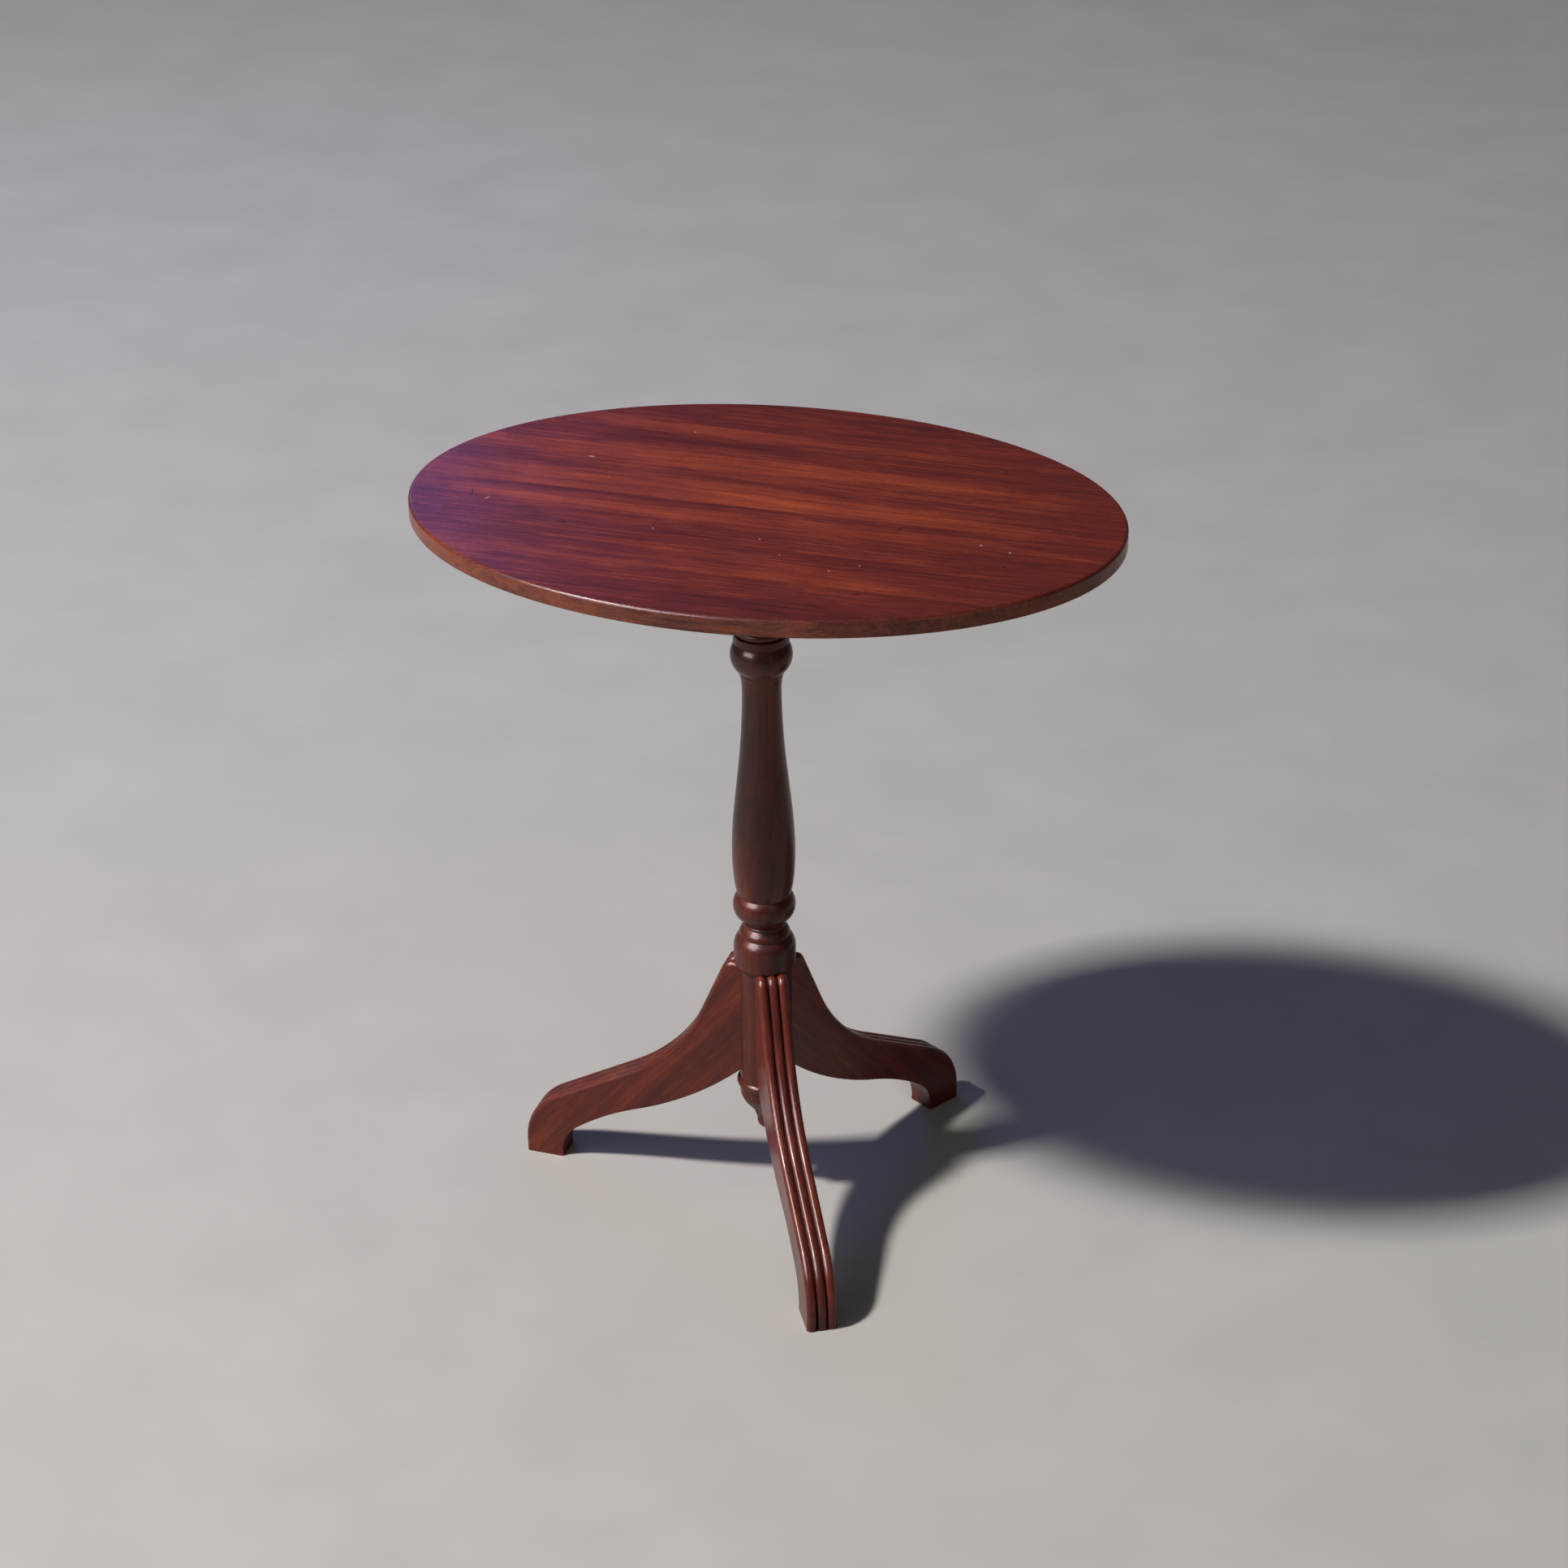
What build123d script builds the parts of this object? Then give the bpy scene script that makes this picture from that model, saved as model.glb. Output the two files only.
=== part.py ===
from build123d import *
import math
import os

# A small oval tilt-top table on a turned pillar with three reeded legs.
# Millimetres. +Z is up and the origin is on the floor under the pillar's axis.
# X runs along the oval's length, which is also the way of the top's grain.

# ---- driving dimensions -------------------------------------------------------------------------
TABLE_HEIGHT = 710.0
TOP_LENGTH = 634.0
TOP_WIDTH = 437.0
TOP_SHIFT = 4.8                # the oval sits this far along +X from the pillar's axis
TOP_THICKNESS = 16.0
TOP_UPPER_ROUND = 3.0
TOP_LOWER_ROUND = 1.2
UNDERSIDE = TABLE_HEIGHT - TOP_THICKNESS

REST_GAP = 0.2                 # between the block and whatever lies or stops on it
RUNNING_GAP = 0.05             # radial clearance of a pivot pin

# tilting block, with the hinge line at its front
BLOCK_SIDE = 130.0
BLOCK_THICKNESS = 28.0
BLOCK_TOP = UNDERSIDE - REST_GAP
BLOCK_BOTTOM = BLOCK_TOP - BLOCK_THICKNESS
BLOCK_BACK = BLOCK_SIDE / 2
PIVOT_DROP = 14.0              # hinge line below the underside of the top
PIVOT_Z = UNDERSIDE - PIVOT_DROP
PIVOT_Y = -BLOCK_SIDE / 2 + PIVOT_DROP - REST_GAP
PIVOT_RADIUS = 5.5
PIN_DEPTH_IN_BLOCK = 25.0
PIN_INSET = 1.0                # the pin's end stays this far inside the bearer's outer face
PIN_CHAMFER = 0.8
BLOCK_CHAMFER = 2.0
BORE_OVERRUN = 1.0             # blind holes go a little deeper than what they hold

# two bearers across the grain, one on each side of the block
BEARER_GAP = 0.4
BEARER_WIDTH = 24.0
BEARER_LENGTH = 340.0
BEARER_DEPTH = 28.0
BEARER_TIP_DEPTH = 10.0
BEARER_FLAT = 190.0
BEARER_CHAMFER = 1.5
BEARER_X = BLOCK_SIDE / 2 + BEARER_GAP + BEARER_WIDTH / 2
BEARER_SCREW_Y = (-125.0, 15.0, 125.0)

# wood screws of the bearers
SCREW_SEAT = 12.0              # head's upper face below the underside of the top
SCREW_BITE = 9.0
SCREW_RADIUS = 2.0
SCREW_HEAD_RADIUS = 4.0
SCREW_HEAD_HEIGHT = 3.0
SCREW_WELL_RADIUS = 5.0
SCREW_HEAD_CHAMFER = 0.5
SCREW_SLOT_WIDTH = 1.1
SCREW_SLOT_DEPTH = 1.2
SLOT_OVERRUN = 1.0             # a slot's cutter is this much longer than the head

# pillar
TENON_RADIUS = 14.0
NECK_RADIUS = 20.0
COLLAR_RADIUS = 28.7
COLLAR_BOTTOM = 247.5
SOCKET_RADIUS = 24.5           # plain length that takes the legs
SOCKET_BOTTOM = 124.0
SPIGOT_RADIUS = 6.0
SPIGOT_LENGTH = 18.0
CAP_RADIUS = 30.0
CAP_STEP_RADIUS = 28.0
CAP_HEIGHT = 6.0
COLLAR_LIP = 2.0
COLLAR_LIP_STEP = 1.2
WEDGE_DEPTH = 20.0
WEDGE_TOP_WIDTH = 2.6
WEDGE_TIP_WIDTH = 0.7
WEDGE_INSET = 1.0              # the wedge stays this far inside the tenon's round

# legs
LEG_THICKNESS = 28.0
LEG_COUNT = 3
FIRST_LEG_ANGLE = 175.6        # from +X; the legs sit a few degrees off the oval's length
LEG_NAMES = ("leg_left", "leg_front", "leg_right")
LEG_ROOT = 18.0                # how far in from the axis the blank starts
SHOULDER_TOP = 249.0
SHOULDER_REACH = 28.0
SHOULDER_ROUND = 11.0
SHOULDER_TURN = 67.0           # degrees
STEEP_RUN = 55.4
HOLLOW_RADIUS = 170.0
HOLLOW_TURN = 38.0             # degrees
SLOPE_RUN = 86.0
TOE_ROUND = 60.0
TOE_TURN = 61.0                # degrees
LEG_UNDER = 134.0              # height of the leg's lower edge at the pillar
ARCH_POINT = (126.0, 68.5)
ARCH_SLOPE = 20.0              # degrees below level, outwards
INSTEP_POINT = (187.0, 36.0)
FOOT_HEEL = 202.0
SOLE_MARGIN = 5.0              # faces below this height belong to the sole
REED_COUNT = 3
REED_DEPTH = 3.4
LOWER_EDGE_ROUND = 1.2
DOVETAIL_NECK = 9.0
DOVETAIL_WIDTH = 13.0
DOVETAIL_REACH = 12.5          # how near the tongue comes to the pillar's axis
DOVETAIL_TOP = 232.0
DOVETAIL_OVERLAP = 2.0         # how far the tongue runs into the leg
CUTTER_MARGIN = 2.0

# catch at the back of the block
CATCH_PLATE = (64.0, 40.0, 2.0)
CATCH_PLATE_Y = 66.5           # front edge of the plate
CATCH_PLATE_CORNER = 4.0
CATCH_SCREW_INSET = 7.0
CASE_WIDTH = 16.0
CASE_DEPTH = 14.0
CASE_LENGTH = 38.0
CASE_WALL = 3.0
CASE_ROUND = 2.0
NOSE_WALL = 2.3
BOLT_WIDTH = 8.0
BOLT_TOP = UNDERSIDE - 6.5
BOLT_HEIGHT = 4.0
BOLT_THROW = 6.0               # how far the nose stands into the keeper
BOLT_FIT = 0.1
BOLT_BAR_LENGTH = 20.0
BOLT_BAR_HEIGHT = 7.0
NOSE_BEVEL_RUN = 3.5
NOSE_BEVEL_START = 1.2         # below the bolt's upper face
STEM_RADIUS = 1.75
STEM_IN_KNOB = 6.0
KNOB_RADIUS = 7.0
KNOB_LENGTH = 15.0
KNOB_STANDOFF = 1.5
SPRING_WIRE_RADIUS = 0.45
SPRING_RADIUS = 2.75
SPRING_TURNS = 4
SPRING_GAP = 0.1               # at each end of the spring
KEEPER = (36.0, 22.0, 1.6)
KEEPER_TOP = UNDERSIDE - 4.0
KEEPER_CORNER = 0.5
KEEPER_SCREW_INSET = 5.0
KEEPER_SCREW_DROP = 8.0        # below the keeper's middle
NOSE_SLOT_SIDE = 1.2           # room beside the nose in the block
NOSE_SLOT_REACH = 3.0          # room beyond the nose's tip
NOSE_SLOT_DROP = 1.0           # room under the nose
KEEPER_HOLE_SIDE = 0.5
KEEPER_HOLE_HEIGHT = 0.3
SMALL_SCREW_RADIUS = 1.4
SMALL_HEAD_RADIUS = 2.9
SMALL_SCREW_LENGTH = 11.0
SMALL_HEAD_SINK = 0.2          # the plate's thickness left beyond the countersunk head
SMALL_HEAD_TAPER = 38.0        # degrees
SMALL_SHANK_START = 0.5
SMALL_SLOT_WIDTH = 0.7
SMALL_SLOT_DEPTH = 0.6

os.makedirs("parts", exist_ok=True)


def save(part, label):
    """Label a finished piece and write its STEP file."""
    part.label = label
    export_step(part, f"parts/{label}.step")


# ---- screws -------------------------------------------------------------------------------------
# Each bearer screw stands upright: the head is below, the shank bites up into the top.
screw_places = [(side * BEARER_X, y) for side in (-1, 1) for y in BEARER_SCREW_Y]
screw_seat_z = UNDERSIDE - SCREW_SEAT

with BuildPart() as bearer_screws:
    with BuildSketch(Plane.XY.offset(screw_seat_z - SCREW_HEAD_HEIGHT)):
        with Locations(*screw_places):
            Circle(SCREW_HEAD_RADIUS)
    extrude(amount=SCREW_HEAD_HEIGHT)
    chamfer(bearer_screws.faces().sort_by(Axis.Z)[0:len(screw_places)].edges(), SCREW_HEAD_CHAMFER)
    with BuildSketch(Plane.XY.offset(screw_seat_z)):
        with Locations(*screw_places):
            Circle(SCREW_RADIUS)
    extrude(amount=SCREW_SEAT + SCREW_BITE)
    with BuildSketch(Plane.XY.offset(screw_seat_z - SCREW_HEAD_HEIGHT)):
        with Locations(*screw_places):
            Rectangle(2 * SCREW_HEAD_RADIUS + SLOT_OVERRUN, SCREW_SLOT_WIDTH)
    extrude(amount=SCREW_SLOT_DEPTH, mode=Mode.SUBTRACT)

# The catch plate's four screws point up into the top; the keeper's two point into the block.
plate_centre_y = CATCH_PLATE_Y + CATCH_PLATE[1] / 2
plate_bottom = UNDERSIDE - CATCH_PLATE[2]
catch_screw_x = CATCH_PLATE[0] / 2 - CATCH_SCREW_INSET
catch_screw_y = CATCH_PLATE[1] / 2 - CATCH_SCREW_INSET
catch_screw_places = [
    (x_side * catch_screw_x, plate_centre_y + y_side * catch_screw_y)
    for x_side in (-1, 1)
    for y_side in (-1, 1)
]

with BuildPart() as catch_screws:
    with BuildSketch(Plane.XY.offset(plate_bottom)):
        with Locations(*catch_screw_places):
            Circle(SMALL_HEAD_RADIUS)
    extrude(amount=CATCH_PLATE[2] - SMALL_HEAD_SINK, taper=SMALL_HEAD_TAPER)
    with BuildSketch(Plane.XY.offset(plate_bottom + SMALL_SHANK_START)):
        with Locations(*catch_screw_places):
            Circle(SMALL_SCREW_RADIUS)
    extrude(amount=SMALL_SCREW_LENGTH)
    with BuildSketch(Plane.XY.offset(plate_bottom)):
        with Locations(*catch_screw_places):
            Rectangle(2 * SMALL_HEAD_RADIUS + SLOT_OVERRUN, SMALL_SLOT_WIDTH)
    extrude(amount=SMALL_SLOT_DEPTH, mode=Mode.SUBTRACT)

keeper_screw_x = KEEPER[0] / 2 - KEEPER_SCREW_INSET
keeper_screw_places = [(side * keeper_screw_x, -KEEPER_SCREW_DROP) for side in (-1, 1)]
# A plane on the block's back face: its x runs along -X, its y runs up and its normal is +Y.
keeper_z = KEEPER_TOP - KEEPER[1] / 2
back_face = Plane(origin=(0, BLOCK_BACK, keeper_z), x_dir=(-1, 0, 0), z_dir=(0, 1, 0))

with BuildPart() as keeper_screws:
    with BuildSketch(back_face):
        with Locations(*keeper_screw_places):
            Circle(SMALL_HEAD_RADIUS)
    extrude(amount=-(KEEPER[2] - SMALL_HEAD_SINK), taper=SMALL_HEAD_TAPER)
    with BuildSketch(back_face.offset(-SMALL_SHANK_START)):
        with Locations(*keeper_screw_places):
            Circle(SMALL_SCREW_RADIUS)
    extrude(amount=-SMALL_SCREW_LENGTH)
    with BuildSketch(back_face):
        with Locations(*keeper_screw_places):
            Rectangle(2 * SMALL_HEAD_RADIUS + SLOT_OVERRUN, SMALL_SLOT_WIDTH)
    extrude(amount=-SMALL_SLOT_DEPTH, mode=Mode.SUBTRACT)

# ---- top ----------------------------------------------------------------------------------------
with BuildPart() as tabletop:
    with BuildSketch(Plane.XY.offset(UNDERSIDE)):
        with Locations((TOP_SHIFT, 0)):
            Ellipse(TOP_LENGTH / 2, TOP_WIDTH / 2)
    extrude(amount=TOP_THICKNESS)
    fillet(tabletop.faces().sort_by(Axis.Z)[-1].edges(), TOP_UPPER_ROUND)
    fillet(tabletop.faces().sort_by(Axis.Z)[0].edges(), TOP_LOWER_ROUND)
    with BuildSketch(Plane.XY.offset(UNDERSIDE)):
        with Locations(*screw_places):
            Circle(SCREW_RADIUS)
    extrude(amount=SCREW_BITE, mode=Mode.SUBTRACT)
    with BuildSketch(Plane.XY.offset(UNDERSIDE)):
        with Locations(*catch_screw_places):
            Circle(SMALL_SCREW_RADIUS)
    extrude(amount=SMALL_SCREW_LENGTH + SMALL_SHANK_START - CATCH_PLATE[2], mode=Mode.SUBTRACT)

save(tabletop.part, "tabletop")
save(bearer_screws.part, "bearer_screws")
save(catch_screws.part, "catch_screws")

# ---- bearers ------------------------------------------------------------------------------------
for side, name in ((-1, "bearer_left"), (1, "bearer_right")):
    with BuildPart() as bearer:
        with BuildSketch(Plane.YZ.offset(side * BEARER_X)):
            with BuildLine():
                half = BEARER_LENGTH / 2
                flat = BEARER_FLAT / 2
                top_edge = Line((-half, UNDERSIDE), (half, UNDERSIDE))
                end_1 = Line(top_edge @ 1, (half, UNDERSIDE - BEARER_TIP_DEPTH))
                bottom = Line((flat, UNDERSIDE - BEARER_DEPTH), (-flat, UNDERSIDE - BEARER_DEPTH))
                TangentArc(bottom @ 0, end_1 @ 1, tangent=(1, 0))
                end_2 = Line((-half, UNDERSIDE - BEARER_TIP_DEPTH), top_edge @ 0)
                TangentArc(bottom @ 1, end_2 @ 0, tangent=(-1, 0))
            make_face()
        extrude(amount=BEARER_WIDTH / 2, both=True)
        long_edges = bearer.edges().filter_by(GeomType.LINE).filter_by(Axis.Y)
        chamfer(long_edges.sort_by(Axis.Z)[0:2], BEARER_CHAMFER)
        with BuildSketch(Plane.YZ.offset(side * BEARER_X)):
            with Locations((PIVOT_Y, PIVOT_Z)):
                Circle(PIVOT_RADIUS + RUNNING_GAP)
        extrude(amount=BEARER_WIDTH, both=True, mode=Mode.SUBTRACT)
        with BuildSketch(Plane.XY.offset(UNDERSIDE)):
            with Locations(*screw_places):
                Circle(SCREW_RADIUS)
        extrude(amount=-BEARER_DEPTH, mode=Mode.SUBTRACT)
        with BuildSketch(Plane.XY.offset(screw_seat_z)):
            with Locations(*screw_places):
                Circle(SCREW_WELL_RADIUS)
        extrude(amount=-BEARER_DEPTH, mode=Mode.SUBTRACT)
    save(bearer.part, name)

# ---- pivot pins: glued into the block, turning in the bearers -------------------------------------
pin_length = PIN_DEPTH_IN_BLOCK + BEARER_GAP + BEARER_WIDTH - PIN_INSET
pin_inner_x = BLOCK_SIDE / 2 - PIN_DEPTH_IN_BLOCK
for side, name in ((-1, "pivot_pin_left"), (1, "pivot_pin_right")):
    with BuildPart() as pin:
        with BuildSketch(Plane.YZ.offset(side * pin_inner_x)):
            with Locations((PIVOT_Y, PIVOT_Z)):
                Circle(PIVOT_RADIUS)
        extrude(amount=side * pin_length)
        chamfer(pin.edges().filter_by(GeomType.CIRCLE), PIN_CHAMFER)
    save(pin.part, name)

# ---- block --------------------------------------------------------------------------------------
with BuildPart() as tenon_wedge:
    with BuildSketch(Plane.XZ):
        with BuildLine():
            Polyline(
                (-WEDGE_TOP_WIDTH / 2, BLOCK_TOP),
                (WEDGE_TOP_WIDTH / 2, BLOCK_TOP),
                (WEDGE_TIP_WIDTH / 2, BLOCK_TOP - WEDGE_DEPTH),
                (-WEDGE_TIP_WIDTH / 2, BLOCK_TOP - WEDGE_DEPTH),
                close=True,
            )
        make_face()
    extrude(amount=TENON_RADIUS - WEDGE_INSET, both=True)
save(tenon_wedge.part, "tenon_wedge")

nose_slot_width = BOLT_WIDTH + 2 * NOSE_SLOT_SIDE
nose_slot_depth = BOLT_THROW + NOSE_SLOT_REACH

with BuildPart() as tilt_block:
    with BuildSketch(Plane.XY.offset(BLOCK_BOTTOM)):
        Rectangle(BLOCK_SIDE, BLOCK_SIDE)
    extrude(amount=BLOCK_THICKNESS)
    # The front upper edge is rounded about the hinge line, so the top can swing past it.
    front_top = tilt_block.edges().filter_by(Axis.X).group_by(Axis.Z)[-1].sort_by(Axis.Y)[0]
    fillet(front_top, PIVOT_DROP - REST_GAP)
    lower_rim = tilt_block.faces().sort_by(Axis.Z)[0].edges()
    chamfer(lower_rim, BLOCK_CHAMFER)
    with BuildSketch(Plane.XY.offset(BLOCK_BOTTOM)):
        Circle(TENON_RADIUS)
    extrude(amount=BLOCK_THICKNESS, mode=Mode.SUBTRACT)
    for side in (-1, 1):
        with BuildSketch(Plane.YZ.offset(side * pin_inner_x)):
            with Locations((PIVOT_Y, PIVOT_Z)):
                Circle(PIVOT_RADIUS)
        extrude(amount=side * (PIN_DEPTH_IN_BLOCK + BORE_OVERRUN), mode=Mode.SUBTRACT)
    # Seat of the keeper plate, and the slot behind it that takes the bolt's nose.
    with BuildSketch(back_face):
        Rectangle(KEEPER[0], KEEPER[1])
    extrude(amount=-KEEPER[2], mode=Mode.SUBTRACT)
    with BuildSketch(Plane.XY.offset(BOLT_TOP - BOLT_HEIGHT - NOSE_SLOT_DROP)):
        with Locations((0, BLOCK_BACK)):
            Rectangle(nose_slot_width, nose_slot_depth, align=(Align.CENTER, Align.MAX))
    extrude(amount=BLOCK_THICKNESS, mode=Mode.SUBTRACT)
    with BuildSketch(back_face):
        with Locations(*keeper_screw_places):
            Circle(SMALL_SCREW_RADIUS)
    extrude(amount=-(SMALL_SCREW_LENGTH + SMALL_SHANK_START), mode=Mode.SUBTRACT)
save(tilt_block.part, "tilt_block")

with BuildPart() as keeper_plate:
    with BuildSketch(back_face):
        RectangleRounded(KEEPER[0], KEEPER[1], KEEPER_CORNER)
        with Locations((0, BOLT_TOP - BOLT_HEIGHT / 2 - keeper_z)):
            Rectangle(
                BOLT_WIDTH + 2 * KEEPER_HOLE_SIDE,
                BOLT_HEIGHT + 2 * KEEPER_HOLE_HEIGHT,
                mode=Mode.SUBTRACT,
            )
    extrude(amount=-KEEPER[2])
    add(keeper_screws.part, mode=Mode.SUBTRACT)
save(keeper_plate.part, "keeper_plate")
save(keeper_screws.part, "keeper_screws")

# ---- pillar -------------------------------------------------------------------------------------
# The turned outline is drawn as radius against height, from the top of the tenon downwards.
with BuildPart() as turning:
    with BuildSketch(Plane.XZ):
        with BuildLine():
            axis_top = Line((0, BLOCK_TOP), (TENON_RADIUS, BLOCK_TOP))
            tenon_side = Line(axis_top @ 1, (TENON_RADIUS, BLOCK_BOTTOM))
            cap_face = Line(tenon_side @ 1, (CAP_RADIUS, BLOCK_BOTTOM))
            cap_edge = Line(cap_face @ 1, (CAP_RADIUS, BLOCK_BOTTOM - CAP_HEIGHT))
            cap_step = Line(cap_edge @ 1, (CAP_STEP_RADIUS, BLOCK_BOTTOM - CAP_HEIGHT))
            cavetto = TangentArc(cap_step @ 1, (NECK_RADIUS, 641.0), tangent=(-1, -0.9))
            neck = Line(cavetto @ 1, (NECK_RADIUS + 0.8, 594.5))
            bead = ThreePointArc(neck @ 1, (24.0, 591.0), (22.4, 587.6))
            band_in = Line(bead @ 1, (24.6, 586.4))
            band = Line(band_in @ 1, (25.3, 580.0))
            band_out = Line(band @ 1, (24.2, 578.2))
            ring = ThreePointArc(band_out @ 1, (28.0, 564.5), (22.0, 551.5))
            ring_under = Line(ring @ 1, (20.0, 550.5))
            cove = Line(ring_under @ 1, (19.8, 546.5))
            vase_neck = Line(cove @ 1, (19.2, 545.5))
            vase = Spline(
                vase_neck @ 1,
                (17.9, 518.0),
                (20.3, 472.0),
                (25.6, 420.0),
                (28.9, 365.0),
                (27.5, 338.0),
                (24.4, 322.0),
                tangents=((-0.2, -1), (-0.3, -1)),
            )
            torus = ThreePointArc(vase @ 1, (28.8, 308.5), (21.2, 295.5))
            waist = Line(torus @ 1, (18.8, 291.5))
            waist_bead = ThreePointArc(waist @ 1, (19.6, 290.0), (18.8, 288.5))
            ovolo_top = Line(waist_bead @ 1, (20.6, 286.6))
            ovolo = TangentArc(ovolo_top @ 1, (23.8, 280.2), tangent=ovolo_top % 1)
            ovolo_foot = Line(ovolo @ 1, (23.0, 279.4))
            collar_step = Line(ovolo_foot @ 1, (23.3, 278.8))
            collar_round = TangentArc((COLLAR_RADIUS, 266.5), collar_step @ 1, tangent=(0, 1))
            collar_side = Line(collar_round @ 0, (COLLAR_RADIUS, COLLAR_BOTTOM + COLLAR_LIP))
            collar_lip = Line(collar_side @ 1, (COLLAR_RADIUS - COLLAR_LIP_STEP, COLLAR_BOTTOM))
            collar_under = Line(collar_lip @ 1, (SOCKET_RADIUS, COLLAR_BOTTOM))
            socket_side = Line(collar_under @ 1, (SOCKET_RADIUS, SOCKET_BOTTOM))
            socket_end = Line(socket_side @ 1, (0, SOCKET_BOTTOM))
            Line(socket_end @ 1, axis_top @ 0)
        make_face()
    revolve(axis=Axis.Z)

with BuildPart() as drop_finial:
    with BuildSketch(Plane.XZ):
        with BuildLine():
            spigot_z = SOCKET_BOTTOM + SPIGOT_LENGTH
            spigot_top = Line((0, spigot_z), (SPIGOT_RADIUS, spigot_z))
            spigot_side = Line(spigot_top @ 1, (SPIGOT_RADIUS, SOCKET_BOTTOM))
            seat = Line(spigot_side @ 1, (25.4, SOCKET_BOTTOM))
            finial_bead = ThreePointArc(seat @ 1, (27.4, 120.0), (25.4, 116.0))
            finial_step = Line(finial_bead @ 1, (24.4, 115.0))
            bowl = Spline(
                finial_step @ 1,
                (23.6, 104.0),
                (16.5, 93.0),
                (9.8, 80.0),
                tangents=((0.1, -1), (-0.25, -1)),
            )
            drop_step = Line(bowl @ 1, (8.2, 78.5))
            drop_tip = TangentArc((0, 66.0), drop_step @ 1, tangent=(1, 0))
            Line(drop_tip @ 0, spigot_top @ 0)
        make_face()
    revolve(axis=Axis.Z)
save(drop_finial.part, "drop_finial")

# ---- legs ---------------------------------------------------------------------------------------
# One leg's outline is drawn flat, with x as the reach from the pillar's axis and y as the height.
with BuildLine() as leg_back:
    # The reeded upper edge, from inside the pillar over the shoulder and down to the toe.
    shoulder = Line((LEG_ROOT, SHOULDER_TOP), (SHOULDER_REACH, SHOULDER_TOP))
    shoulder_round = JernArc(
        shoulder @ 1, tangent=shoulder % 1, radius=SHOULDER_ROUND, arc_size=-SHOULDER_TURN
    )
    steep = Line(shoulder_round @ 1, (shoulder_round @ 1) + (shoulder_round % 1) * STEEP_RUN)
    hollow = JernArc(steep @ 1, tangent=steep % 1, radius=HOLLOW_RADIUS, arc_size=HOLLOW_TURN)
    slope = Line(hollow @ 1, (hollow @ 1) + (hollow % 1) * SLOPE_RUN)
    toe = JernArc(slope @ 1, tangent=slope % 1, radius=TOE_ROUND, arc_size=-TOE_TURN)
    toe_front = Line(toe @ 1, ((toe @ 1).X, 0))

arch_run = math.cos(math.radians(ARCH_SLOPE))
arch_fall = math.sin(math.radians(ARCH_SLOPE))

with BuildSketch() as leg_side:
    with BuildLine():
        add(leg_back.line)
        sole = Line(toe_front @ 1, (FOOT_HEEL, 0))
        belly = TangentArc(ARCH_POINT, (20.0, LEG_UNDER), tangent=(-arch_run, arch_fall))
        arch = TangentArc(ARCH_POINT, INSTEP_POINT, tangent=(arch_run, -arch_fall))
        TangentArc(arch @ 1, sole @ 1, tangent=arch % 1)
        Polyline(belly @ 1, (LEG_ROOT, LEG_UNDER), (LEG_ROOT, SHOULDER_TOP))
    make_face()

# The cutter that leaves three round reeds: a bar above the leg with three arcs in its lower side.
reed_width = LEG_THICKNESS / REED_COUNT
with BuildSketch() as reed_cutter:
    with BuildLine():
        half = LEG_THICKNESS / 2
        outside = half + CUTTER_MARGIN
        cusps = [(-half + i * reed_width, -REED_DEPTH) for i in range(REED_COUNT + 1)]
        for left, right in zip(cusps, cusps[1:]):
            ThreePointArc(left, ((left[0] + right[0]) / 2, 0), right)
        Polyline(
            cusps[-1],
            (outside, -REED_DEPTH),
            (outside, CUTTER_MARGIN),
            (-outside, CUTTER_MARGIN),
            (-outside, -REED_DEPTH),
            cusps[0],
        )
    make_face()

leg_axes = Plane(origin=(0, 0, 0), x_dir=(1, 0, 0), z_dir=(0, -1, 0))
reed_path = leg_axes * leg_back.line
path_start = Plane(origin=(LEG_ROOT, 0, SHOULDER_TOP), x_dir=(0, 1, 0), z_dir=(1, 0, 0))


def faces_down(face):
    """Whether a face of the blank looks down and is not the sole."""
    return face.normal_at().Z < -0.25 and face.center().Z > SOLE_MARGIN


with BuildPart() as leg_blank:
    with BuildSketch(leg_axes):
        add(leg_side.sketch)
    extrude(amount=LEG_THICKNESS / 2, both=True)
    lower_edges = leg_blank.faces().filter_by(faces_down).edges().filter_by(Axis.Y, reverse=True)
    fillet(lower_edges, LOWER_EDGE_ROUND)
    with BuildSketch(path_start):
        add(reed_cutter.sketch)
    sweep(path=reed_path, mode=Mode.SUBTRACT)

# The dovetailed tongue slides up into the pillar from below.
with BuildPart() as tongue:
    with BuildSketch(Plane.XY.offset(SOCKET_BOTTOM)):
        with BuildLine():
            Polyline(
                (DOVETAIL_REACH, -DOVETAIL_WIDTH / 2),
                (SOCKET_RADIUS + DOVETAIL_OVERLAP, -DOVETAIL_NECK / 2),
                (SOCKET_RADIUS + DOVETAIL_OVERLAP, DOVETAIL_NECK / 2),
                (DOVETAIL_REACH, DOVETAIL_WIDTH / 2),
                close=True,
            )
        make_face()
    extrude(amount=DOVETAIL_TOP - SOCKET_BOTTOM)
    with BuildSketch(Plane.XY.offset(SOCKET_BOTTOM)):
        Circle(SOCKET_RADIUS)
    extrude(amount=DOVETAIL_TOP - SOCKET_BOTTOM, mode=Mode.INTERSECT)

# The shoulder of each leg is scribed to the pillar, so the turning is cut out of the blank.
with BuildPart() as scribed_leg:
    add(leg_blank.part)
    add(turning.part, mode=Mode.SUBTRACT)
    add(tongue.part)

leg_angles = [FIRST_LEG_ANGLE + i * 360 / LEG_COUNT for i in range(LEG_COUNT)]
for name, angle in zip(LEG_NAMES, leg_angles):
    with BuildPart() as leg:
        add(scribed_leg.part, rotation=(0, 0, angle))
    save(leg.part, name)

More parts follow.
